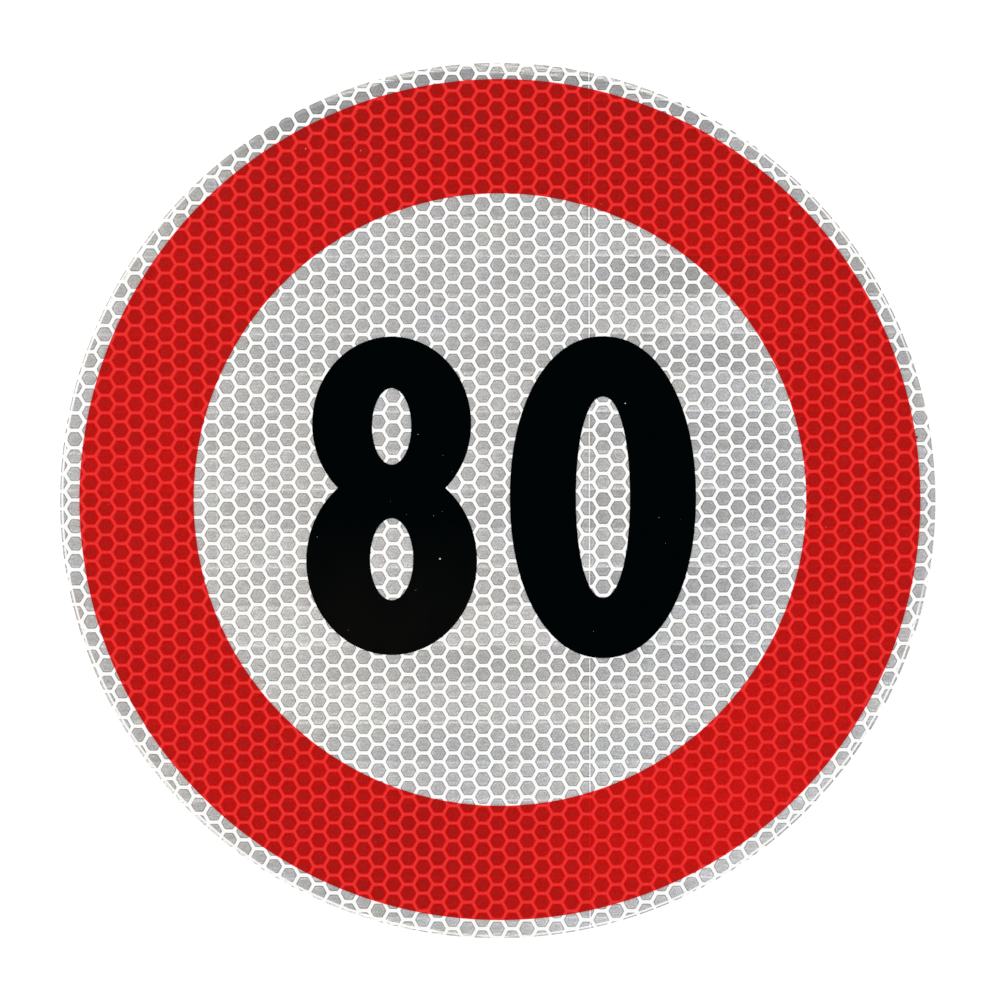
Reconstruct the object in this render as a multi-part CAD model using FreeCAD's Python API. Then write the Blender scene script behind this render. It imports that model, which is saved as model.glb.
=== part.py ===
import FreeCAD, Part
import math
import os

# A round self-adhesive speed limit sign that lies flat on its release liner, face up.
# Sizes are in millimetres. The origin is the centre of the liner's back. +Z points
# out of the printed face, +Y to the top of the digits and +X to their right.

# Layers, from the back to the face
liner_thickness = 0.15
sheet_thickness = 0.40
ink_thickness = 0.04

# Round blank, cut through the sheet and its liner in one stroke
disc_diameter = 200.0

# Rolled rim: the blade presses the edge of the sheet's face down in a short curve
rim_roll_width = 0.84
rim_roll_depth = 0.16

# Printed border, a little out of register with the cut
border_margin = 3.95
border_width = 26.10
print_shift_x = 0.48
print_shift_y = 0.20

# Digits: the eight is two overlapping ellipses, and the zero one fuller oval
digits_shift_x = 0.29
digits_bottom = -35.48
digit_gap = 7.50
eight_height = 72.70
eight_upper_width = 36.30
eight_upper_height = 39.80
eight_lower_width = 39.00
eight_lower_height = 42.90
eight_upper_side_stroke = 13.67
eight_lower_side_stroke = 14.57
eight_top_stroke = 11.80
eight_waist_stroke = 12.24
eight_bottom_stroke = 12.50
eight_upper_counter_height = 17.45
zero_width = 42.50
zero_height = 73.50
zero_side_stroke = 15.07
zero_top_stroke = 13.75
zero_drop = 0.72
zero_fullness = 2.12
zero_outline_points = 24

# Heights of the faces that meet
liner_top = liner_thickness
sheet_top = liner_top + sheet_thickness

# Radii worked out from the blank
disc_radius = disc_diameter / 2
roll_start_radius = disc_radius - rim_roll_width
border_outer_radius = disc_radius - border_margin
border_inner_radius = border_outer_radius - border_width

# The two digits side by side, centred in the border but for a small shift
digits_width = eight_lower_width + digit_gap + zero_width
digits_left = print_shift_x + digits_shift_x - digits_width / 2

UP = FreeCAD.Vector(0, 0, 1)


def circle_wire(radius, x, y, z):
    circle = Part.Circle(FreeCAD.Vector(x, y, z), UP, radius)
    return Part.Wire([circle.toShape()])


def ellipse_face(width, height, x, y, z):
    """A flat ellipse of the given width along X and height along Y."""
    half_width = width / 2
    half_height = height / 2
    centre = FreeCAD.Vector(x, y, z)
    if half_width >= half_height:
        far = centre + FreeCAD.Vector(half_width, 0, 0)
        near = centre + FreeCAD.Vector(0, half_height, 0)
    else:
        far = centre + FreeCAD.Vector(0, half_height, 0)
        near = centre - FreeCAD.Vector(half_width, 0, 0)
    edge = Part.Ellipse(far, near, centre).toShape()
    return Part.Face(Part.Wire([edge]))


def oval_face(width, height, fullness, x, y, z):
    """A flat superellipse: an ellipse at a fullness of 2, and squarer above it."""
    power = 2 / fullness
    points = []
    for step in range(zero_outline_points):
        turn = 2 * math.pi * step / zero_outline_points
        cosine = math.cos(turn)
        sine = math.sin(turn)
        across = math.copysign(abs(cosine) ** power, cosine)
        along = math.copysign(abs(sine) ** power, sine)
        points.append(FreeCAD.Vector(x + width / 2 * across, y + height / 2 * along, z))
    outline = Part.BSplineCurve()
    outline.interpolate(Points=points, PeriodicFlag=True)
    return Part.Face(Part.Wire([outline.toShape()]))


def make_release_liner():
    return Part.makeCylinder(disc_radius, liner_thickness)


def make_reflective_sheet():
    """The film with its adhesive, turned from half its section, with the rim rolled down."""
    axis_bottom = FreeCAD.Vector(0, 0, liner_top)
    edge_bottom = FreeCAD.Vector(disc_radius, 0, liner_top)
    edge_top = FreeCAD.Vector(disc_radius, 0, sheet_top - rim_roll_depth)
    roll_start = FreeCAD.Vector(roll_start_radius, 0, sheet_top)
    axis_top = FreeCAD.Vector(0, 0, sheet_top)

    # The roll is an arc that leaves the flat face smoothly and drops by its depth
    roll_radius = (rim_roll_width**2 + rim_roll_depth**2) / (2 * rim_roll_depth)
    half_sweep = math.atan2(rim_roll_depth, rim_roll_width)
    roll_middle = roll_start + FreeCAD.Vector(
        roll_radius * math.sin(half_sweep), 0, -roll_radius * (1 - math.cos(half_sweep))
    )
    section = Part.Wire(
        [
            Part.makeLine(axis_bottom, edge_bottom),
            Part.makeLine(edge_bottom, edge_top),
            Part.Arc(edge_top, roll_middle, roll_start).toShape(),
            Part.makeLine(roll_start, axis_top),
            Part.makeLine(axis_top, axis_bottom),
        ]
    )
    return Part.Face(section).revolve(FreeCAD.Vector(0, 0, 0), UP, 360)


def make_red_border():
    outer = circle_wire(border_outer_radius, print_shift_x, print_shift_y, sheet_top)
    inner = circle_wire(border_inner_radius, print_shift_x, print_shift_y, sheet_top)
    band = Part.Face(outer).cut(Part.Face(inner))
    return band.extrude(UP * ink_thickness)


def make_digit_eight():
    """Two overlapping ellipses, one above the other, each with an oval counter."""
    x = digits_left + eight_lower_width / 2
    bottom = print_shift_y + digits_bottom
    top = bottom + eight_height
    lower_y = bottom + eight_lower_height / 2
    upper_y = top - eight_upper_height / 2
    lower_lobe = ellipse_face(eight_lower_width, eight_lower_height, x, lower_y, sheet_top)
    upper_lobe = ellipse_face(eight_upper_width, eight_upper_height, x, upper_y, sheet_top)

    upper_counter_top = top - eight_top_stroke
    upper_counter_bottom = upper_counter_top - eight_upper_counter_height
    lower_counter_top = upper_counter_bottom - eight_waist_stroke
    lower_counter_bottom = bottom + eight_bottom_stroke
    upper_counter = ellipse_face(
        eight_upper_width - 2 * eight_upper_side_stroke,
        eight_upper_counter_height,
        x,
        (upper_counter_top + upper_counter_bottom) / 2,
        sheet_top,
    )
    lower_counter = ellipse_face(
        eight_lower_width - 2 * eight_lower_side_stroke,
        lower_counter_top - lower_counter_bottom,
        x,
        (lower_counter_top + lower_counter_bottom) / 2,
        sheet_top,
    )
    outline = upper_lobe.fuse(lower_lobe).removeSplitter()
    field = outline.cut(upper_counter).cut(lower_counter)
    return field.extrude(UP * ink_thickness)


def make_digit_zero():
    x = digits_left + digits_width - zero_width / 2
    y = print_shift_y + digits_bottom - zero_drop + zero_height / 2
    outline = oval_face(zero_width, zero_height, zero_fullness, x, y, sheet_top)
    counter = oval_face(
        zero_width - 2 * zero_side_stroke,
        zero_height - 2 * zero_top_stroke,
        zero_fullness,
        x,
        y,
        sheet_top,
    )
    return outline.cut(counter).extrude(UP * ink_thickness)


def solids_of(shape):
    """The solids inside a fused or extruded shape, without the compound round a lone one."""
    if len(shape.Solids) == 1:
        return shape.Solids[0]
    return Part.makeCompound(shape.Solids)


nodes = {
    "release_liner": make_release_liner(),
    "reflective_sheet": make_reflective_sheet(),
    "red_border": make_red_border(),
    "digit_eight": make_digit_eight(),
    "digit_zero": make_digit_zero(),
}

os.makedirs("parts", exist_ok=True)
for name, shape in nodes.items():
    solid = solids_of(shape)
    solid.exportStep("parts/%s.step" % name)
    box = solid.optimalBoundingBox()
    print(
        "%-17s volume %9.2f mm3  x %.2f..%.2f  y %.2f..%.2f  z %.2f..%.2f"
        % (name, solid.Volume, box.XMin, box.XMax, box.YMin, box.YMax, box.ZMin, box.ZMax)
    )
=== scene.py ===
import math
import random

import bpy
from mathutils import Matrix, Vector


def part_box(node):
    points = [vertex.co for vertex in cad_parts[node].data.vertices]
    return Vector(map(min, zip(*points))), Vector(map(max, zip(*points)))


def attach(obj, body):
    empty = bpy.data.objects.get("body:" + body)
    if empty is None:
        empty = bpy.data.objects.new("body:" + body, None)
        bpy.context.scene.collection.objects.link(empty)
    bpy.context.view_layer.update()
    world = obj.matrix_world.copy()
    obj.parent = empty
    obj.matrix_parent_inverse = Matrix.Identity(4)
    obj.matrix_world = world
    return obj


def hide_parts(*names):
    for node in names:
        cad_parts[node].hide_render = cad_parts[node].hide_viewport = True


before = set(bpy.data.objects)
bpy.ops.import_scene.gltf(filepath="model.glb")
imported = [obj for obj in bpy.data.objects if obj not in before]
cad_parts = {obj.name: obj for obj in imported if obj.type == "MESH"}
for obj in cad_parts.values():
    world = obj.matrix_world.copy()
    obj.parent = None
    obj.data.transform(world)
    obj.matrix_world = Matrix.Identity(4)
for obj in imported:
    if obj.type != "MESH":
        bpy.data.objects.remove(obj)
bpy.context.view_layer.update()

# The photograph, looked at straight on: 1000 pixels square, with the disc's centre
# and width in pixels. Other pixel places below are in the same frame.
PHOTO_SIZE = 1000
PHOTO_CENTRE = (497.76, 500.44)
PHOTO_DISC_WIDTH = 875.8
DISC_WIDTH = 0.200
PIXEL = DISC_WIDTH / PHOTO_DISC_WIDTH
MM = 0.001

# Camera, floor and light. The sky's stops go from the horizon at 0 to straight up at 1.
LENS = 100.0
SENSOR = 36.0
CLIP_START = 0.01
FLOOR_REACH = 6.0
FLOOR_GREY = 0.86
FLOOR_LIFT = 0.30
DOME_STRENGTH = 1.32
SKY_STOPS = ((0.0, 0.15), (0.40, 0.25), (0.62, 1.0), (0.86, 1.0), (0.95, 0.002))
KEY_PLACE = (-0.70, 0.55, 0.80)
KEY_SIZE = 0.70
KEY_ENERGY = 3.15
FILL_PLACE = (0.80, -0.45, 0.70)
FILL_SIZE = 0.80
FILL_ENERGY = 1.9

# Honeycomb of the sheeting: rows stand one pitch apart in each column
CELL_PITCH = 3.975 * MM
COLUMN_PITCH = 3.4244 * MM
LATTICE_TILT = math.radians(0.108)
LATTICE_START = (3.529 * MM, 0.116 * MM)
SEAL_WIDTH = 0.74 * MM
CORNER_CUT = 0.17 * MM
CELL_DEPTH = 0.08 * MM
WALL_WIDTH = 0.10 * MM
SHADED_WIDTH = 1.00 * MM
CELL_WOBBLE = 0.012 * MM
CELL_SEED = 80

# Printed border, as wide as the part's own, and the straight steps that make up each circle
BORDER_WIDTH = 26.10 * MM
CIRCLE_STEPS = 360
STEP = 2 * math.pi / CIRCLE_STEPS

# Limits of the cutting: the least area that is kept, how near to a chord counts as on it, and
# to how small a part of a metre corners are told apart
LEAST_AREA = 1e-13
ON_CHORD = 1e-9
PLACES_PER_METRE = 1e8

# Rolled rim of the sheet
ROLL_WIDTH = 0.84 * MM
ROLL_DEPTH = 0.16 * MM
ROLL_RINGS = (0.0, 0.17 * MM, 0.34 * MM, 0.51 * MM, 0.68 * MM)
CRUSH_WIDTH = 0.50 * MM

# How the rim and the margin change round the sign, by the share of a turn from the left by
# the bottom: the share of the rim's pale line that shows, how dark or pale the lip outside it is,
# where its darkening is painted shade on the rolled edge, and how the margin's cells differ from the
# tiles' grey
RIM_LINE_SHARES = (
    (0.000, 1.0), (0.225, 1.0), (0.238, 0.3), (0.262, 0.3), (0.270, 1.0), (0.458, 1.0),
    (0.475, 0.1), (0.545, 0.1), (0.565, 1.0), (0.675, 1.0), (0.697, 0.1), (0.860, 0.1),
    (0.885, 1.0), (1.000, 1.0),
)
LIP_FACTORS = (
    (0.00, 1.05), (0.06, 1.05), (0.10, 1.70), (0.19, 1.70), (0.225, 1.10), (0.255, 1.00),
    (0.27, 0.70), (0.42, 0.74), (0.46, 1.00), (0.545, 1.00), (0.565, 0.78), (0.66, 0.78),
    (0.70, 1.00), (0.87, 1.00), (0.90, 1.15), (1.00, 1.05),
)
MARGIN_FACTORS = (
    (0.00, 0.95), (0.10, 0.89), (0.22, 0.92), (0.30, 1.07), (0.40, 1.07), (0.47, 0.93),
    (0.62, 0.95), (0.87, 0.99), (0.94, 1.02), (1.00, 0.95),
)

# Tiles of the reflecting layer: two to a period down the sheet, and two upright seams. The
# greys run down one period, by its share and as display levels, left and right of the main
# seam. The seed was picked out of 3000, as its random greys came nearest to the photo's tiles.
TILE_PERIOD = 77.8 * PIXEL
TILE_START = 2.59 * MM
TILE_SLOPE = 0.0038
LEFT_TILE_GREYS = (
    (0.000, 216), (0.013, 191), (0.030, 184), (0.060, 182), (0.430, 181), (0.480, 175),
    (0.493, 183), (0.506, 202), (0.530, 194), (0.545, 187), (0.900, 186), (0.945, 187),
    (0.970, 192), (0.985, 195), (1.000, 216),
)
RIGHT_TILE_GREYS = (
    (0.000, 218), (0.006, 224), (0.015, 180), (0.026, 161), (0.045, 172), (0.470, 171),
    (0.495, 170), (0.507, 192), (0.519, 204), (0.535, 187), (0.555, 184), (0.935, 183),
    (0.968, 189), (0.984, 199), (1.000, 218),
)
RIGHT_SEAM_X = 20.94 * MM
RIGHT_SEAM_LEAN = -0.0016
LEFT_SEAM_X = -64.06 * MM
LEFT_SEAM_LEAN = -0.0075
TILE_SPREAD = 0.08
TILE_SEED = 2268

# Pinholes in the print, nicks in the border's inner edge and a spur at its outer edge: pixel
# place and radius in pixels
BORDER_PINHOLES = (
    (108.5, 504.2, 0.5), (305.6, 148.6, 0.92), (360.5, 150.5, 0.82), (789.8, 218.2, 1.8),
    (601.0, 204.2, 0.45), (699.5, 748.5, 0.4), (826.3, 527.0, 0.5), (920.3, 488.4, 0.9),
)
BORDER_NICKS = (
    (806.6, 483.5, 1.3), (806.7, 497.5, 1.3), (806.6, 515.5, 1.5), (806.3, 532.0, 1.0),
)
BORDER_SPUR = ((916.6, 437.3, 2.2), (915.8, 440.4, 1.6))
DIGIT_PINHOLES = (
    (625.2, 403.4, 0.75), (418.0, 434.5, 0.42), (443.0, 455.5, 0.24), (440.0, 558.8, 1.1),
    (433.6, 515.8, 0.29), (317.2, 536.9, 0.31), (593.6, 631.6, 0.26), (659.0, 517.5, 0.40),
    (665.4, 543.5, 0.22), (348.0, 630.5, 0.17), (406.5, 514.5, 0.20), (442.5, 511.5, 0.18),
    (415.5, 590.0, 0.25), (390.5, 501.5, 0.16), (452.5, 471.5, 0.16), (680.5, 519.5, 0.15),
)

# Wide soft patches that are paler or darker: pixel place, radius in pixels, and amount
FACE_PATCHES = (
    (350, 640, 150, 0.06), (490, 520, 90, -0.10), (693, 279, 42, -0.15), (690, 320, 60, 0.09),
    (600, 275, 50, 0.07), (765, 470, 75, -0.12), (605, 667, 60, -0.09), (735, 703, 110, -0.10),
)
RED_PATCHES = ((720, 790, 230, 0.18), (400, 870, 170, -0.10), (150, 420, 130, 0.08))

# From a seal's middle into its window, by the distance in mm: factors for the face, with a dark
# outline of painted shade and a paler painted highlight within it, and the border's display colours
WINDOW_PAINTED_SHADE = (
    (0.40, 1.15), (0.47, 0.68), (0.55, 0.635), (0.63, 0.84), (0.72, 1.075), (0.80, 1.10),
    (0.90, 1.03), (1.00, 0.968),
)
BORDER_COLOURS = (
    (0.00, (228, 56, 51)), (0.20, (232, 47, 45)), (0.30, (232, 24, 27)), (0.40, (220, 3, 4)),
    (0.50, (201.5, 1, 0)), (0.60, (186, 4, 0)), (0.72, (177, 14, 7)), (0.85, (175, 18.5, 13)),
    (1.00, (174.5, 17.5, 14)),
)

# Surface of the film: the size and depth of its grain, and its gloss coat
FINE_GRAIN = 0.27 * MM
GRAIN_DEPTH = 0.02 * MM
COAT_WEIGHT = 0.4
COAT_ROUGHNESS = 0.06

# Casts of the reflecting layer, as linear factors
WARM_CAST = (1.026, 0.999, 0.969, 1)
COOL_CAST = (0.985, 0.996, 1.034, 1)
MARGIN_WARM_CAST = (1.018, 0.986, 0.950, 1)
MARGIN_COOL_CAST = (0.992, 0.990, 1.030, 1)
CREASE_CAST = (1.015, 1.0, 0.955, 1)
# The red tint of the painted reflection and shadow of the ink on the cells beside the border
INK_REFLECTION_CAST = (0.95, 0.74, 0.74, 1)
EDGE_CASTS = (
    (0.45, (1.0, 0.998, 0.960, 1)), (0.72, (1.0, 1.0, 0.972, 1)), (0.95, (1.0, 1.0, 1.0, 1)),
)

sheet_low, sheet_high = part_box("reflective_sheet")
border_low, border_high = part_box("red_border")

sheet_radius = min(-sheet_low[0], -sheet_low[1], sheet_high[0], sheet_high[1])
sheet_top = sheet_high[2]
sheet_bottom = sheet_low[2]
ink_thickness = border_high[2] - border_low[2]
border_centre = ((border_low[0] + border_high[0]) / 2, (border_low[1] + border_high[1]) / 2)
border_outer = (border_high[0] - border_low[0]) / 2
border_inner = border_outer - BORDER_WIDTH
roll_start = sheet_radius - ROLL_WIDTH
roll_radius = (ROLL_WIDTH**2 + ROLL_DEPTH**2) / (2 * ROLL_DEPTH)


def from_photo(x, y):
    """The place on the sign of a pixel of the photograph, in metres."""
    return (x - PHOTO_CENTRE[0]) * PIXEL, (PHOTO_CENTRE[1] - y) * PIXEL


def level(value):
    """The linear value of a display level from 0 to 255."""
    share = value / 255
    if share <= 0.04045:
        return share / 12.92
    return ((share + 0.055) / 1.055) ** 2.4


def shade(red, green, blue):
    """A colour from its display levels."""
    return (level(red), level(green), level(blue), 1.0)


# Camera, floor, lamps and sky

def make_camera():
    """Looks straight down, from where the picture is as wide as the photo at the sign's face."""
    data = bpy.data.cameras.new("camera")
    data.lens = LENS
    data.sensor_width = SENSOR
    camera = bpy.data.objects.new("camera", data)
    bpy.context.scene.collection.objects.link(camera)
    middle = PHOTO_SIZE / 2
    x, y = from_photo(middle, middle)
    camera.location = (x, y, sheet_top + LENS / SENSOR * PHOTO_SIZE * PIXEL)
    data.clip_start = CLIP_START
    bpy.context.scene.camera = camera


def make_floor():
    """A pale floor. Seen by the camera it is lifted to white, but for the sign's shadow."""
    corners = [(x * FLOOR_REACH, y * FLOOR_REACH, 0) for x, y in ((-1, -1), (1, -1), (1, 1), (-1, 1))]
    mesh = bpy.data.meshes.new("floor")
    mesh.from_pydata(corners, [], [(0, 1, 2, 3)])
    floor = bpy.data.objects.new("floor", mesh)
    bpy.context.scene.collection.objects.link(floor)
    material = bpy.data.materials.new("floor")
    material.use_nodes = True
    nodes = material.node_tree.nodes
    links = material.node_tree.links
    bsdf = nodes["Principled BSDF"]
    bsdf.inputs["Base Color"].default_value = (FLOOR_GREY, FLOOR_GREY, FLOOR_GREY, 1)
    bsdf.inputs["Roughness"].default_value = 0.9
    bsdf.inputs["Specular IOR Level"].default_value = 0.1
    path = nodes.new("ShaderNodeLightPath")
    lift = nodes.new("ShaderNodeMath")
    lift.operation = "MULTIPLY"
    lift.inputs[1].default_value = FLOOR_LIFT
    links.new(path.outputs["Is Camera Ray"], lift.inputs[0])
    links.new(lift.outputs[0], bsdf.inputs["Emission Strength"])
    bsdf.inputs["Emission Color"].default_value = (1, 1, 1, 1)
    mesh.materials.append(material)


def make_lamp(name, place, size, energy):
    """A square lamp turned to the sign's centre."""
    data = bpy.data.lights.new(name, "AREA")
    data.shape = "SQUARE"
    data.size = size
    data.energy = energy
    lamp = bpy.data.objects.new(name, data)
    bpy.context.scene.collection.objects.link(lamp)
    lamp.location = place
    down = math.atan2(math.hypot(place[0], place[1]), place[2])
    lamp.rotation_euler = (0, down, math.atan2(place[1], place[0]))


def make_sky():
    """A bright dome, dimmer toward the horizon, with a dark patch overhead for the camera."""
    world = bpy.data.worlds.new("sky")
    bpy.context.scene.world = world
    world.use_nodes = True
    nodes = world.node_tree.nodes
    links = world.node_tree.links
    nodes.clear()
    coordinates = nodes.new("ShaderNodeTexCoord")
    parts = nodes.new("ShaderNodeSeparateXYZ")
    ramp = nodes.new("ShaderNodeValToRGB")
    elements = ramp.color_ramp.elements
    while len(elements) < len(SKY_STOPS):
        elements.new(0.5)
    for element, (position, brightness) in zip(elements, SKY_STOPS):
        element.position = position
        element.color = (brightness, brightness, brightness, 1)
    dome = nodes.new("ShaderNodeBackground")
    dome.inputs["Strength"].default_value = DOME_STRENGTH
    white = nodes.new("ShaderNodeBackground")
    white.inputs["Color"].default_value = (1, 1, 1, 1)
    path = nodes.new("ShaderNodeLightPath")
    choice = nodes.new("ShaderNodeMixShader")
    output = nodes.new("ShaderNodeOutputWorld")
    links.new(coordinates.outputs["Generated"], parts.inputs[0])
    links.new(parts.outputs["Z"], ramp.inputs["Fac"])
    links.new(ramp.outputs["Color"], dome.inputs["Color"])
    links.new(path.outputs["Is Camera Ray"], choice.inputs[0])
    links.new(dome.outputs[0], choice.inputs[1])
    links.new(white.outputs[0], choice.inputs[2])
    links.new(choice.outputs[0], output.inputs["Surface"])


# Shader nodes

class Finish:
    """A material's node tree, with short calls for the nodes that the finishes share."""

    def __init__(self, name, roughness, specular):
        self.material = bpy.data.materials.new(name)
        self.material.use_nodes = True
        self.nodes = self.material.node_tree.nodes
        self.links = self.material.node_tree.links
        self.bsdf = self.nodes["Principled BSDF"]
        self.bsdf.inputs["Roughness"].default_value = roughness
        self.bsdf.inputs["Specular IOR Level"].default_value = specular
        coordinates = self.nodes.new("ShaderNodeTexCoord")
        self.place = coordinates.outputs["Object"]
        parts = self.nodes.new("ShaderNodeSeparateXYZ")
        self.links.new(self.place, parts.inputs[0])
        self.x = parts.outputs["X"]
        self.y = parts.outputs["Y"]

    def put(self, value, socket):
        """Links a value from another node to a socket, or sets a plain one on it."""
        if isinstance(value, bpy.types.NodeSocket):
            self.links.new(value, socket)
        else:
            socket.default_value = value

    def math(self, operation, *values):
        node = self.nodes.new("ShaderNodeMath")
        node.operation = operation
        for value, socket in zip(values, node.inputs):
            self.put(value, socket)
        return node.outputs[0]

    def times_plus(self, value, factor, offset):
        """value * factor + offset."""
        return self.math("MULTIPLY_ADD", value, factor, offset)

    def product(self, *values):
        result = values[0]
        for value in values[1:]:
            result = self.math("MULTIPLY", result, value)
        return result

    def attribute(self, name):
        node = self.nodes.new("ShaderNodeAttribute")
        node.attribute_name = name
        return node.outputs["Fac"]

    def noise(self, size, detail=2.0, roughness=0.5, stretch=(1, 1, 1), turn=0.0):
        """Noise from 0 to 1 whose features are about size metres across."""
        mapping = self.nodes.new("ShaderNodeMapping")
        self.links.new(self.place, mapping.inputs["Vector"])
        mapping.inputs["Rotation"].default_value = (0, 0, math.radians(turn))
        mapping.inputs["Scale"].default_value = [part / size for part in stretch]
        node = self.nodes.new("ShaderNodeTexNoise")
        self.links.new(mapping.outputs[0], node.inputs["Vector"])
        node.inputs["Scale"].default_value = 1.0
        node.inputs["Detail"].default_value = detail
        node.inputs["Roughness"].default_value = roughness
        return node.outputs["Fac"]

    def swing(self, value, amount):
        """A factor about 1 from a value about a half, which swings it by the amount in all."""
        return self.times_plus(value, amount, 1 - amount / 2)

    def random(self, first, second):
        """One random value from 0 to 1 for each pair of whole numbers."""
        pair = self.nodes.new("ShaderNodeCombineXYZ")
        self.put(first, pair.inputs["X"])
        self.put(second, pair.inputs["Y"])
        node = self.nodes.new("ShaderNodeTexWhiteNoise")
        node.noise_dimensions = "2D"
        self.links.new(pair.outputs[0], node.inputs["Vector"])
        return node.outputs["Value"]

    def ramp(self, value, stops):
        """A grey or coloured ramp from (position, colour) stops."""
        node = self.nodes.new("ShaderNodeValToRGB")
        elements = node.color_ramp.elements
        while len(elements) < len(stops):
            elements.new(0.5)
        for element, (position, colour) in zip(elements, stops):
            element.position = position
            if not isinstance(colour, tuple):
                colour = (colour, colour, colour, 1)
            element.color = colour
        self.put(value, node.inputs["Fac"])
        return node.outputs["Color"]

    def factor_ramp(self, value, stops):
        """A factor, which may be above 1, from (position, factor) stops."""
        largest = max(factor for _, factor in stops)
        scaled = [(position, factor / largest) for position, factor in stops]
        return self.math("MULTIPLY", self.ramp(value, scaled), largest)

    def smooth(self, value, low, high):
        """0 below low and 1 above high, or the other way round where low is the larger."""
        node = self.nodes.new("ShaderNodeMapRange")
        node.interpolation_type = "SMOOTHSTEP"
        flip = low > high
        node.inputs["From Min"].default_value = high if flip else low
        node.inputs["From Max"].default_value = low if flip else high
        node.inputs["To Min"].default_value = 1.0 if flip else 0.0
        node.inputs["To Max"].default_value = 0.0 if flip else 1.0
        self.put(value, node.inputs["Value"])
        return node.outputs["Result"]

    def mix(self, share, first, second, blend="MIX"):
        node = self.nodes.new("ShaderNodeMix")
        node.data_type = "RGBA"
        node.blend_type = blend
        self.put(share, node.inputs[0])
        self.put(first, node.inputs[6])
        self.put(second, node.inputs[7])
        return node.outputs[2]

    def colour_of(self, red, green, blue):
        node = self.nodes.new("ShaderNodeCombineColor")
        for value, socket in zip((red, green, blue), node.inputs):
            self.put(value, socket)
        return node.outputs[0]

    def distance(self, point):
        across = self.math("SUBTRACT", self.x, point[0])
        along = self.math("SUBTRACT", self.y, point[1])
        square = self.math("MULTIPLY", along, along)
        return self.math("SQRT", self.times_plus(across, across, square))

    def spots(self, places):
        """Small round spots, 1 inside and 0 outside. Places are pixels and radii in pixels."""
        total = 0.0
        for x, y, radius in places:
            away = self.distance(from_photo(x, y))
            spot = self.smooth(away, radius * PIXEL, radius * PIXEL * 0.4)
            total = self.math("MAXIMUM", spot, total)
        return total

    def patch(self, x, y, radius, amount):
        """A factor that fades from 1 + amount at a pixel to 1 at the radius in pixels."""
        near = self.smooth(self.distance(from_photo(x, y)), radius * PIXEL, 0.0)
        return self.times_plus(near, amount, 1.0)

    def bump(self, height, strength, depth):
        node = self.nodes.new("ShaderNodeBump")
        node.inputs["Strength"].default_value = strength
        node.inputs["Distance"].default_value = depth
        self.put(height, node.inputs["Height"])
        self.links.new(node.outputs[0], self.bsdf.inputs["Normal"])

    def colour(self, value):
        self.put(value, self.bsdf.inputs["Base Color"])

    def coat(self, weight, roughness):
        self.bsdf.inputs["Coat Weight"].default_value = weight
        self.bsdf.inputs["Coat Roughness"].default_value = roughness


# Finishes

def upright_seams(finish):
    """Which side of the main seam this is, the column of tiles, and the light of both seams."""
    main_seam = finish.times_plus(finish.y, RIGHT_SEAM_LEAN, RIGHT_SEAM_X)
    from_main = finish.math("SUBTRACT", finish.x, main_seam)
    left_seam = finish.times_plus(finish.y, LEFT_SEAM_LEAN, LEFT_SEAM_X)
    from_left = finish.math("SUBTRACT", finish.x, left_seam)
    side = finish.math("GREATER_THAN", from_main, 0.0)
    column = finish.math("ADD", side, finish.math("GREATER_THAN", from_left, 0.0))
    away = finish.math("ABSOLUTE", from_main)
    bright = finish.smooth(away, 0.20 * MM, 0.09 * MM)
    dark = finish.math("SUBTRACT", finish.smooth(away, 0.52 * MM, 0.30 * MM), bright)
    faint = finish.smooth(finish.math("ABSOLUTE", from_left), 0.30 * MM, 0.10 * MM)
    line = finish.times_plus(bright, 0.46, finish.math("MULTIPLY", dark, -0.09))
    line = finish.times_plus(faint, 0.08, line)
    return side, column, line


def tile_layer(finish):
    """The reflecting layer's grey, its upright seams, and which side of the main one this is.

    Down the sheet, each period starts at a seam, with a plain tile and then one that is
    brighter beside both of its seams. Right of the main seam the two differ more.
    """
    wander = finish.times_plus(finish.noise(0.9 * MM), 0.3 * MM, -0.15 * MM)
    tilted = finish.times_plus(finish.x, TILE_SLOPE, TILE_START)
    tilted = finish.math("ADD", tilted, wander)
    down = finish.math("DIVIDE", finish.math("SUBTRACT", tilted, finish.y), TILE_PERIOD)
    share = finish.math("FRACT", down)
    left = finish.ramp(share, [(place, level(grey)) for place, grey in LEFT_TILE_GREYS])
    right = finish.ramp(share, [(place, level(grey)) for place, grey in RIGHT_TILE_GREYS])
    side, column, line = upright_seams(finish)
    row = finish.math("FLOOR", finish.math("MULTIPLY", down, 2.0))
    row = finish.math("ADD", row, TILE_SEED)
    own = finish.math("SUBTRACT", finish.random(row, column), 0.5)
    lift = finish.times_plus(own, TILE_SPREAD, 1.0)
    lower = finish.smooth(finish.y, 60 * MM, -30 * MM)
    left = finish.mix(1.0, left, finish.swing(lower, 0.10), blend="MULTIPLY")
    off_right_end = finish.smooth(finish.x, 72 * MM, 46 * MM)
    off_bottom = finish.smooth(finish.y, -44 * MM, -30 * MM)
    contrast = finish.product(side, off_right_end, off_bottom)
    tone = finish.math("MULTIPLY", finish.mix(contrast, left, right), lift)
    return tone, line, side


def rim_turn(finish):
    """The share of a turn round the sign, from the left by the bottom: a quarter is the bottom."""
    return finish.times_plus(finish.math("ARCTAN2", finish.y, finish.x), 0.5 / math.pi, 0.5)


def wavy_radius(finish, turn):
    """The distance from the middle, bent so that what it draws follows the wander of the cut."""
    wander = finish.times_plus(finish.noise(0.8 * MM), 0.20 * MM, -0.10 * MM)
    wavy = finish.math("ADD", finish.distance((0.0, 0.0)), wander)
    lobes = finish.math("COSINE", finish.times_plus(turn, 6 * math.pi, math.radians(60)))
    return finish.times_plus(lobes, -0.15 * MM, wavy)


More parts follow.
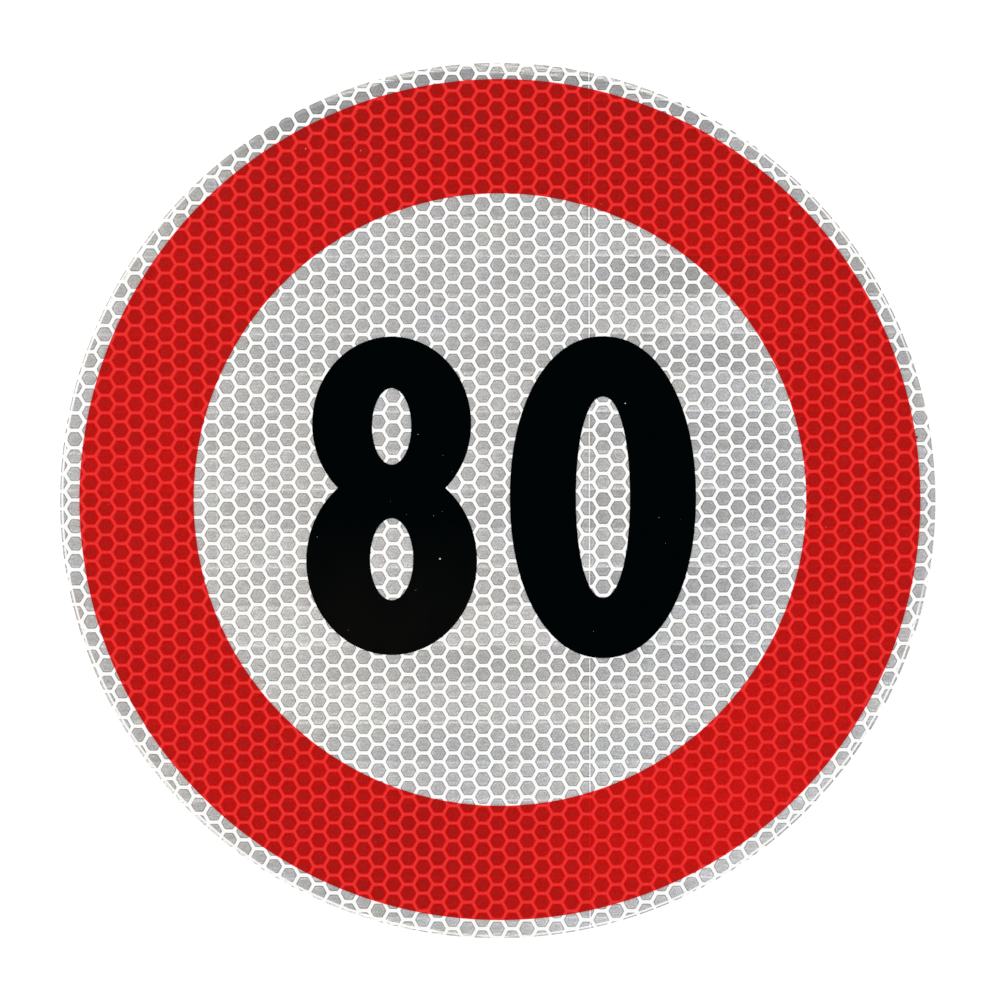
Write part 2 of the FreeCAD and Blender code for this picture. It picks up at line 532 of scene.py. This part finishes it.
def low_band(finish):
    """The darker row of cells below the digits, as a share."""
    top = finish.smooth(finish.y, -32.0 * MM, -33.5 * MM)
    bottom = finish.smooth(finish.y, -42.0 * MM, -40.5 * MM)
    left = finish.smooth(finish.x, -44 * MM, -36 * MM)
    right = finish.smooth(finish.x, 24 * MM, 18 * MM)
    return finish.product(top, bottom, left, right)


def window_painted_light(finish):
    """A factor that rises across each window, a painted highlight and shade of the film, which bulges
    a little between its seals: to the window's left on the left of the sign, and to its right on the
    right."""
    # Painted light and shade: each window is lighter on one side and darker on the other.
    place = finish.times_plus(finish.y, -0.35, finish.x)
    slope = finish.times_plus(finish.smooth(place, -5 * MM, 30 * MM), 0.060, -0.036)
    return finish.times_plus(finish.attribute("across"), slope, 1.0)


def window_tone(finish, tile, fine):
    """The tone in the windows: the tiles', with grain, patches, painted light across each window, and
    painted shade along each window's edge.
    """
    streak = finish.noise(0.55 * MM, stretch=(0.30, 1, 1))
    tone = finish.product(
        tile,
        finish.swing(fine, 1.25),
        finish.swing(streak, 0.58),
        finish.swing(finish.attribute("cell_tone"), 0.06),
        finish.swing(finish.noise(26 * MM), 0.12),
        finish.times_plus(low_band(finish), -0.10, 1.0),
        window_painted_light(finish),
        *[finish.patch(*patch) for patch in FACE_PATCHES],
    )
    # Painted shade: a dark outline along each window's edge, with a paler painted highlight inside
    # it.
    outline = finish.factor_ramp(finish.attribute("edge"), WINDOW_PAINTED_SHADE)
    return finish.math("MULTIPLY", tone, outline)


def with_margin(finish, tone, margin, wavy, turn):
    """The tone with the margin's own, darker at the top, and with the rim's pale line and the lip,
    darkened by painted shade in places.
    """
    own = finish.factor_ramp(turn, MARGIN_FACTORS)
    tone = finish.mix(margin, tone, finish.math("MULTIPLY", tone, own))
    height = finish.times_plus(finish.x, -0.12, finish.y)
    top = finish.math("MULTIPLY", margin, finish.smooth(height, 75 * MM, 96 * MM))
    tone = finish.math("MULTIPLY", tone, finish.times_plus(top, -0.27, 1.0))
    # Painted shade: the lip at the very edge is darkened where the rim rolls down, and paler in
    # places.
    lip = finish.smooth(wavy, roll_start + 0.36 * MM, roll_start + 0.46 * MM)
    lip_shade_tone = finish.math("MULTIPLY", tone, finish.factor_ramp(turn, LIP_FACTORS))
    tone = finish.mix(lip, tone, lip_shade_tone)
    # A pale line along the rolled rim, where the share round the sign lets it show.
    inner_side = finish.smooth(wavy, roll_start - 0.05 * MM, roll_start + 0.06 * MM)
    outer_side = finish.smooth(wavy, roll_start + 0.50 * MM, roll_start + 0.40 * MM)
    pale_rim_line = finish.product(inner_side, outer_side, finish.ramp(turn, RIM_LINE_SHARES))
    return finish.mix(pale_rim_line, tone, shade(250, 250, 250))


def coolness(finish, side):
    """How cool the layer's cast is: warmer down the left, and cooler far right, low right and
    at the bottom."""
    low = finish.smooth(finish.y, 60 * MM, -40 * MM)
    far_left = finish.smooth(finish.x, -20 * MM, -36 * MM)
    left_cool = finish.times_plus(low, -0.15, 0.45)
    left_cool = finish.times_plus(finish.product(low, far_left), -0.50, left_cool)
    below_top = finish.smooth(finish.y, 42 * MM, 32 * MM)
    far_right = finish.product(below_top, finish.smooth(finish.x, 38 * MM, 46 * MM), 0.42)
    below_middle = finish.smooth(finish.y, -12 * MM, -24 * MM)
    above_bottom = finish.smooth(finish.y, -42 * MM, -34 * MM)
    low_right = finish.product(below_middle, above_bottom, 0.45)
    right_cool = finish.math("ADD", finish.math("MAXIMUM", far_right, low_right), 0.48)
    cool_step = finish.math("SUBTRACT", right_cool, left_cool)
    cool = finish.times_plus(side, cool_step, left_cool)
    return finish.times_plus(finish.smooth(finish.y, -48 * MM, -56 * MM), 0.40, cool)


def layer_tint(finish, edge, side, margin):
    """The layer's cast, from place to place, from cell to cell and near a window's edge."""
    own_cast = finish.math("ADD", finish.noise(1.5 * MM, detail=1), finish.attribute("cell_tone"))
    drift = finish.times_plus(finish.noise(14 * MM, detail=1), 0.7, -0.75)
    group = finish.times_plus(finish.noise(11 * MM, detail=1), 1.7, -0.85)
    own_cast = finish.times_plus(own_cast, 0.4, finish.math("ADD", drift, group))
    cool = finish.math("ADD", coolness(finish, side), own_cast)
    tint = finish.mix(cool, WARM_CAST, COOL_CAST)
    from_left = finish.times_plus(finish.smooth(finish.x, -75 * MM, -30 * MM), 0.5, 0.25)
    margin_cool = finish.times_plus(own_cast, 1.3, from_left)
    margin_tint = finish.mix(margin_cool, MARGIN_WARM_CAST, MARGIN_COOL_CAST)
    tint = finish.mix(margin, tint, margin_tint)
    tint = finish.mix(1.0, tint, finish.ramp(edge, EDGE_CASTS), blend="MULTIPLY")
    lilac = finish.product(
        finish.swing(finish.noise(2.3 * MM, detail=1), 0.05),
        finish.swing(finish.noise(9 * MM, detail=1), 0.08),
    )
    return finish.mix(1.0, tint, finish.colour_of(1.0, lilac, 1.0), blend="MULTIPLY")


def with_creases(finish, tone, tint, wavy):
    """The tone and tint with wavy pale creases near the rim, at the top and at the bottom."""
    pattern = finish.noise(0.25 * MM, detail=3, stretch=(0.07, 1, 1))
    crease = finish.times_plus(finish.smooth(pattern, 0.36, 0.64), 0.66, 0.70)
    wide = finish.product(
        finish.smooth(wavy, sheet_radius - 2.35 * MM, sheet_radius - 2.20 * MM),
        finish.smooth(finish.x, -6.0 * MM, -3.5 * MM),
        finish.smooth(finish.x, 17 * MM, 13 * MM),
    )
    narrow = finish.smooth(wavy, sheet_radius - 1.2 * MM, sheet_radius - 1.0 * MM)
    at_top = finish.smooth(finish.y, 90 * MM, 94 * MM)
    top = finish.math("MULTIPLY", finish.math("MAXIMUM", wide, narrow), at_top)
    bottom = finish.product(
        finish.smooth(wavy, sheet_radius - 1.3 * MM, sheet_radius - 1.1 * MM),
        finish.smooth(finish.y, -92 * MM, -95 * MM),
        finish.smooth(finish.x, 12 * MM, 6 * MM),
    )
    tone = finish.mix(top, tone, finish.product(tone, crease, 1.60))
    tone = finish.mix(bottom, tone, finish.product(tone, crease, 1.12))
    return tone, finish.mix(finish.math("MAXIMUM", top, bottom), tint, CREASE_CAST)


def with_ink_reflection_shade(finish, cell):
    """The cells' colour with a painted reflection and shadow of the red ink, a little way into them
    from the border.
    """
    ring = finish.distance(border_centre)
    from_outer = finish.math("ABSOLUTE", finish.math("SUBTRACT", ring, border_outer))
    from_inner = finish.math("ABSOLUTE", finish.math("SUBTRACT", ring, border_inner))
    # Painted reflection and shadow of the ink on the cells beside the border's edges.
    near = finish.smooth(finish.math("MINIMUM", from_outer, from_inner), 0.55 * MM, 0.0)
    return finish.mix(near, cell, finish.mix(1.0, cell, INK_REFLECTION_CAST, blend="MULTIPLY"))


def make_face_finish():
    """White seal lines, and the silvery reflecting layer seen through the cells' windows."""
    finish = Finish("reflective_face", roughness=0.40, specular=0.12)
    edge = finish.attribute("edge")
    tile, line, side = tile_layer(finish)
    fine = finish.noise(FINE_GRAIN, detail=1, roughness=0.6)
    turn = rim_turn(finish)
    wavy = wavy_radius(finish, turn)
    from_middle = finish.distance((0.0, 0.0))
    margin = finish.smooth(from_middle, border_outer - 0.5 * MM, border_outer + 0.5 * MM)
    tone = with_margin(finish, window_tone(finish, tile, fine), margin, wavy, turn)
    tone, tint = with_creases(finish, tone, layer_tint(finish, edge, side, margin), wavy)
    tone = finish.math("ADD", tone, line)
    cell = with_ink_reflection_shade(finish, finish.mix(1.0, tint, tone, blend="MULTIPLY"))

    cloud = finish.noise(5 * MM, detail=3)
    white = finish.product(finish.swing(cloud, 0.04), finish.swing(fine, 0.14), 0.98)
    seal = finish.mix(1.0, (1.0, 0.995, 0.992, 1), white, blend="MULTIPLY")
    face = finish.mix(finish.smooth(edge, 0.41, 0.34), cell, seal)
    finish.colour(finish.mix(finish.spots(BORDER_SPUR), face, shade(172, 18, 18)))
    finish.bump(fine, strength=0.2, depth=GRAIN_DEPTH)
    finish.coat(COAT_WEIGHT, COAT_ROUGHNESS)
    return finish.material


def make_red_finish():
    """Clear red ink over the honeycomb: bright on the seal lines and deep on the cells."""
    finish = Finish("red_print", roughness=0.36, specular=0.12)
    edge = finish.attribute("edge")
    tile, line, _ = tile_layer(finish)
    fine = finish.noise(FINE_GRAIN, detail=1, roughness=0.6)
    colour = finish.ramp(edge, [(place, shade(*levels)) for place, levels in BORDER_COLOURS])
    top = finish.smooth(finish.y, 56 * MM, 86 * MM)
    deep = finish.product(
        finish.math("POWER", finish.math("DIVIDE", tile, level(182)), 0.5),
        finish.times_plus(top, -0.08, 1.0),
        finish.swing(fine, 1.10),
        finish.swing(finish.noise(0.45 * MM, detail=1), 0.40),
        finish.swing(finish.attribute("cell_tone"), 0.05),
        finish.swing(finish.noise(30 * MM), 0.10),
        finish.swing(finish.noise(9 * MM, detail=1), 0.16),
        *[finish.patch(*patch) for patch in RED_PATCHES],
    )
    deep = finish.math("ADD", deep, line)
    seal = finish.math("MULTIPLY", finish.swing(finish.noise(2 * MM), 0.06), finish.swing(fine, 0.75))
    window = finish.smooth(edge, 0.30, 0.60)
    factor = finish.mix(window, seal, deep)
    speck = finish.math("SUBTRACT", finish.noise(0.29 * MM, detail=1), 0.5)
    mottle = finish.times_plus(speck, finish.times_plus(window, 2.9, 2.0), 1.0)
    colour = finish.mix(1.0, colour, finish.colour_of(factor, mottle, mottle), blend="MULTIPLY")
    colour = finish.mix(finish.spots(BORDER_NICKS), colour, shade(95, 6, 10))
    finish.colour(finish.mix(finish.spots(BORDER_PINHOLES), colour, shade(250, 130, 120)))
    finish.bump(fine, strength=0.2, depth=GRAIN_DEPTH)
    finish.coat(COAT_WEIGHT, COAT_ROUGHNESS)
    return finish.material


def make_black_finish():
    """Opaque black ink, a little browner low on the left digit with a painted diagonal sheen, with a
    few pinholes.
    """
    finish = Finish("black_print", roughness=0.12, specular=0.30)
    grain = finish.noise(1.2 * MM, detail=3)
    base = finish.mix(grain, shade(0.0, 3.0, 4.0), shade(2.0, 5.0, 6.0))
    low = finish.smooth(finish.y, 0.0, -30 * MM)
    left = finish.smooth(finish.x, 4 * MM, -4 * MM)
    # A brownish tint of the ink, in diagonal streaks that are a painted sheen.
    streak = finish.noise(9 * MM, stretch=(1, 0.5, 1), turn=30)
    brown_and_sheen = finish.product(low, left, finish.times_plus(streak, 1.4, 0.2))
    black = finish.mix(brown_and_sheen, base, shade(11, 10.5, 9.5))
    finish.colour(finish.mix(finish.spots(DIGIT_PINHOLES), black, shade(225, 223, 220)))
    finish.bump(finish.noise(0.9 * MM), strength=0.05, depth=GRAIN_DEPTH)
    return finish.material


def make_edge_finish():
    """Cut edge of the film and its adhesive."""
    finish = Finish("film_edge", roughness=0.5, specular=0.4)
    layers = finish.noise(0.6 * MM, detail=3, stretch=(0.2, 0.2, 6))
    finish.colour(finish.ramp(layers, [(0.3, level(214)), (0.7, level(242))]))
    finish.bump(layers, strength=0.2, depth=0.03 * MM)
    return finish.material


def make_liner_finish():
    """Coated white paper with a faint fibre."""
    finish = Finish("liner_paper", roughness=0.45, specular=0.35)
    fibre = finish.noise(1.1 * MM, detail=4, roughness=0.65, stretch=(1, 0.35, 1))
    cloud = finish.noise(20 * MM)
    tone = finish.product(finish.swing(fibre, 0.06), finish.swing(cloud, 0.04), 0.88)
    finish.colour(finish.mix(1.0, (1.0, 0.995, 0.975, 1), tone, blend="MULTIPLY"))
    finish.bump(fibre, strength=0.2, depth=GRAIN_DEPTH)
    return finish.material


# Flat polygons, cut by circles. A corner is (x, y, drop, edge, across, tone): its place, how
# far it lies below the face, how far in mm from the seal's middle and to the right of its
# cell's centre, and its cell's own tone.

def cut_by_line(polygon, centre, normal, limit):
    """The parts of a convex polygon on the near and far side of a straight line."""
    near, far = [], []
    for here, after in zip(polygon, polygon[1:] + polygon[:1]):
        side = (here[0] - centre[0]) * normal[0] + (here[1] - centre[1]) * normal[1] - limit
        next_side = (after[0] - centre[0]) * normal[0] + (after[1] - centre[1]) * normal[1] - limit
        (near if side <= 0 else far).append(here)
        if (side <= 0) != (next_side <= 0):
            share = side / (side - next_side)
            crossing = tuple(a + (b - a) * share for a, b in zip(here, after))
            near.append(crossing)
            far.append(crossing)
    return near, far


def area_of(polygon):
    """The flat area of a polygon, which is positive where its corners go anticlockwise."""
    total = 0.0
    for here, after in zip(polygon, polygon[1:] + polygon[:1]):
        total += here[0] * after[1] - after[0] * here[1]
    return total / 2


def worth_keeping(polygon):
    """Whether a cut has left more of a polygon than a sliver."""
    return len(polygon) >= 3 and area_of(polygon) > LEAST_AREA


def chord_normal(index):
    """The outward direction of one of a circle's straight steps."""
    middle = (index + 0.5) * STEP
    return math.cos(middle), math.sin(middle)


def cut_by_circle(polygon, centre, radius):
    """The parts of a convex polygon inside and outside a circle of straight steps."""
    limit = radius * math.cos(STEP / 2)
    distances = [math.hypot(p[0] - centre[0], p[1] - centre[1]) for p in polygon]
    if max(distances) <= limit:
        return [polygon], []
    angles = [math.atan2(p[1] - centre[1], p[0] - centre[0]) for p in polygon]
    angles = [angles[0] + math.remainder(angle - angles[0], 2 * math.pi) for angle in angles]
    inside = polygon
    outside = []
    for index in range(math.floor(min(angles) / STEP) - 1, math.floor(max(angles) / STEP) + 2):
        inside, far = cut_by_line(inside, centre, chord_normal(index), limit)
        if worth_keeping(far):
            outside.append(far)
        if not worth_keeping(inside):
            return [], outside
    return [inside], outside


def cut_all(polygons, centre, radius):
    """All the parts of some polygons inside and outside a circle."""
    inside, outside = [], []
    for polygon in polygons:
        near, far = cut_by_circle(polygon, centre, radius)
        inside += near
        outside += far
    return inside, outside


# Honeycomb

def drawn(x, y):
    """Where the film's own stretch has drawn a place of the even lattice to.

    It is a cubic in the place, with u and v from -1 to 1 across the disc and the shifts in mm,
    and its factors were fitted to the cells in the photo.
    """
    u = x / (DISC_WIDTH / 2)
    v = y / (DISC_WIDTH / 2)
    across = 0.08 * v - 0.16 * u**2 + 0.35 * u * v - 0.27 * v**2
    across += 0.68 * u**3 - 0.45 * u**2 * v - 0.63 * u * v**2 + 0.09 * v**3
    along = 0.08 * u + 0.55 * u**2 - 0.34 * u * v - 0.29 * v**2
    along += 0.31 * u**3 - 0.31 * u**2 * v - 0.82 * u * v**2 + 0.27 * v**3
    return x + across * MM, y + along * MM


def cell_places():
    """The centres of the cells of the even lattice that reach the sheet."""
    reach = sheet_radius + CELL_PITCH
    columns = math.ceil(reach / COLUMN_PITCH) + 1
    rows = math.ceil(reach / CELL_PITCH) + 1
    cosine = math.cos(LATTICE_TILT)
    sine = math.sin(LATTICE_TILT)
    for column in range(-columns, columns + 1):
        for row in range(-rows, rows + 1):
            across = column * COLUMN_PITCH
            along = (row + 0.5 * (column % 2)) * CELL_PITCH
            x = LATTICE_START[0] + across * cosine - along * sine
            y = LATTICE_START[1] + across * sine + along * cosine
            if math.hypot(x, y) < reach:
                yield x, y


def hexagon_corners():
    """The corners of one lattice cell about its centre, tilted with the lattice."""
    cosine = math.cos(LATTICE_TILT)
    sine = math.sin(LATTICE_TILT)
    corners = []
    for x, y in ((2, 0), (1, 1), (-1, 1), (-2, 0), (-1, -1), (1, -1)):
        across = x * COLUMN_PITCH / 3
        along = y * CELL_PITCH / 2
        corners.append((across * cosine - along * sine, across * sine + along * cosine))
    return corners


def window_ring(corners, inset):
    """The window's outline with its corners cut, moved in from the cell's edge."""
    scale = 1 - 2 * inset / CELL_PITCH
    side = CELL_PITCH / math.sqrt(3) * (1 - SEAL_WIDTH / CELL_PITCH)
    cut = CORNER_CUT / side
    ring = []
    for index, corner in enumerate(corners):
        before = corners[index - 1]
        after = corners[(index + 1) % 6]
        for other in (before, after):
            ring.append(tuple(scale * (a + (b - a) * cut) for a, b in zip(corner, other)))
    return ring


def cell_polygons(x, y, corners, rings, tone, shift):
    """One cell's polygons: its share of the seal lines, its wall and its floor.

    Each ring is (outline, drop, edge), from the window's edge inwards.
    """
    def outer(index):
        cx, cy = corners[index % 6]
        return (*drawn(x + cx, y + cy), 0.0, 0.0, cx / MM, tone)

    def inner(ring, index):
        outline, drop, edge = ring
        rx, ry = outline[index % 12]
        return (*drawn(x + shift[0] + rx, y + shift[1] + ry), drop, edge, rx / MM, tone)

    polygons = []
    window = rings[0]
    for index in range(6):
        behind = inner(window, 2 * index)
        ahead = inner(window, 2 * index + 1)
        following = inner(window, 2 * index + 2)
        polygons.append([outer(index), outer(index + 1), following, ahead])
        polygons.append([outer(index), ahead, behind])
    for upper, lower in zip(rings, rings[1:]):
        for index in range(12):
            top = [inner(upper, index), inner(upper, index + 1)]
            foot = [inner(lower, index + 1), inner(lower, index)]
            polygons.append(top + foot)
    polygons.append([inner(rings[-1], index) for index in range(12)])
    return polygons


def make_regions():
    """Every polygon of the honeycomb, sorted into the plain face and the red border."""
    chance = random.Random(CELL_SEED)
    corners = hexagon_corners()
    window = SEAL_WIDTH / 2
    rings = []
    for inset, drop in ((window, 0.0), (window + WALL_WIDTH, CELL_DEPTH), (SHADED_WIDTH, CELL_DEPTH)):
        rings.append((window_ring(corners, inset), drop, inset / MM))
    origin = (0.0, 0.0)
    plain, printed = [], []
    for x, y in cell_places():
        tone = chance.random()
        shift = (chance.uniform(-CELL_WOBBLE, CELL_WOBBLE), chance.uniform(-CELL_WOBBLE, CELL_WOBBLE))
        polygons = cell_polygons(x, y, corners, rings, tone, shift)
        polygons = cut_all(polygons, origin, sheet_radius)[0]
        within, rim = cut_all(polygons, border_centre, border_outer)
        within, border = cut_all(within, border_centre, border_inner)
        for ring in ROLL_RINGS:
            kept, rim = cut_all(rim, origin, roll_start + ring)
            plain += kept
        plain += within + rim
        printed += border
    return plain, printed


def height_of(corner, lift):
    """The height of a corner: the cells run out before the rim, which is rolled down."""
    x, y, drop = corner[:3]
    radius = math.hypot(x, y)
    depth_left = min(1.0, max(0.0, (roll_start - radius) / CRUSH_WIDTH))
    past = min(ROLL_WIDTH, max(0.0, radius - roll_start))
    roll = roll_radius - math.sqrt(roll_radius**2 - past**2)
    return sheet_top + lift - drop * depth_left - roll


def map_place(corner):
    """A flat map of the face, for the export."""
    return 0.5 + corner[0] / (2 * sheet_radius), 0.5 + corner[1] / (2 * sheet_radius)


def edge_walls(polygon, radius):
    """The sides of a polygon that lie on one of the border's circles of straight steps."""
    limit = radius * math.cos(STEP / 2)
    half_chord = radius * math.sin(STEP / 2)
    walls = []
    for here, after in zip(polygon, polygon[1:] + polygon[:1]):
        middle_x = (here[0] + after[0]) / 2 - border_centre[0]
        middle_y = (here[1] + after[1]) / 2 - border_centre[1]
        normal = chord_normal(math.floor(math.atan2(middle_y, middle_x) / STEP))
        along = []
        for point in (here, after):
            dx = point[0] - border_centre[0]
            dy = point[1] - border_centre[1]
            if abs(dx * normal[0] + dy * normal[1] - limit) < ON_CHORD:
                along.append(abs(dy * normal[0] - dx * normal[1]))
        if len(along) == 2 and max(along) < half_chord + ON_CHORD:
            walls.append((here, after))
    return walls


# Pieces

class PieceMesh:
    """Gathers the corners and faces of a piece, with the finishes' values and a flat map."""

    def __init__(self):
        self.places = {}
        self.points = []
        self.values = {"edge": [], "across": [], "cell_tone": []}
        self.faces = []
        self.map = []

    def point(self, corner, lift):
        """The number of a corner, which is made once for each place."""
        x, y, _, *values = corner
        z = height_of(corner, lift)
        key = tuple(round(part * PLACES_PER_METRE) for part in (x, y, z))
        if key not in self.places:
            self.places[key] = len(self.points)
            self.points.append((x, y, z))
            for gathered, value in zip(self.values.values(), values):
                gathered.append(value)
        return self.places[key]

    def face(self, corners, lifts):
        """Adds a face over some lifted corners, unless too few of them stand apart."""
        indices, spots = [], []
        for corner, lift in zip(corners, lifts):
            index = self.point(corner, lift)
            if index not in indices:
                indices.append(index)
                spots.append(map_place(corner))
        if len(indices) >= 3:
            self.faces.append(indices)
            self.map += spots

    def make_piece(self, name, material):
        mesh = bpy.data.meshes.new(name)
        mesh.from_pydata(self.points, [], self.faces)
        for label, values in self.values.items():
            layer = mesh.attributes.new(label, "FLOAT", "POINT")
            layer.data.foreach_set("value", values)
        flat_map = mesh.uv_layers.new(name="OFBake")
        flat_map.data.foreach_set("uv", [part for spot in self.map for part in spot])
        return add_piece(name, mesh, material)


def add_piece(name, mesh, material):
    """Puts a mesh in the scene as a piece that goes with the part."""
    mesh.materials.append(material)
    piece = bpy.data.objects.new(name, mesh)
    bpy.context.scene.collection.objects.link(piece)
    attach(piece, "root")
    return piece


def make_face(polygons):
    """The honeycomb of the sheet's face, inside the border and in its margin."""
    gathered = PieceMesh()
    for polygon in polygons:
        gathered.face(polygon, [0.0] * len(polygon))
    face = gathered.make_piece("honeycomb_face", make_face_finish())
    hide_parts("reflective_sheet")


def make_border(polygons):
    """The printed border, which stands above the face by the ink's thickness."""
    gathered = PieceMesh()
    for polygon in polygons:
        gathered.face(polygon, [ink_thickness] * len(polygon))
        for radius in (border_inner, border_outer):
            for here, after in edge_walls(polygon, radius):
                gathered.face([after, here, here, after], [ink_thickness, ink_thickness, 0.0, 0.0])
    border = gathered.make_piece("honeycomb_border", make_red_finish())
    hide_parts("red_border")


def make_sheet_body():
    """The film's own thickness below the honeycomb, closed all round."""
    points = []
    for height in (sheet_bottom, sheet_top - ROLL_DEPTH):
        for step in range(CIRCLE_STEPS):
            across = sheet_radius * math.cos(step * STEP)
            along = sheet_radius * math.sin(step * STEP)
            points.append((across, along, height))
    faces = [tuple(reversed(range(CIRCLE_STEPS))), tuple(range(CIRCLE_STEPS, 2 * CIRCLE_STEPS))]
    for step in range(CIRCLE_STEPS):
        after = (step + 1) % CIRCLE_STEPS
        faces.append((step, after, CIRCLE_STEPS + after, CIRCLE_STEPS + step))
    mesh = bpy.data.meshes.new("sheet_body")
    mesh.from_pydata(points, [], faces)
    add_piece("sheet_body", mesh, make_edge_finish())


def dress(node, material):
    """Gives a part of the frame a better material."""
    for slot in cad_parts[node].material_slots:
        slot.material = material


make_camera()
make_floor()
make_sky()
make_lamp("key_lamp", KEY_PLACE, KEY_SIZE, KEY_ENERGY)
make_lamp("fill_lamp", FILL_PLACE, FILL_SIZE, FILL_ENERGY)

plain_polygons, printed_polygons = make_regions()
make_face(plain_polygons)
make_border(printed_polygons)
make_sheet_body()

black_finish = make_black_finish()
dress("digit_eight", black_finish)
dress("digit_zero", black_finish)
dress("release_liner", make_liner_finish())

bpy.context.scene.view_settings.view_transform = "Standard"
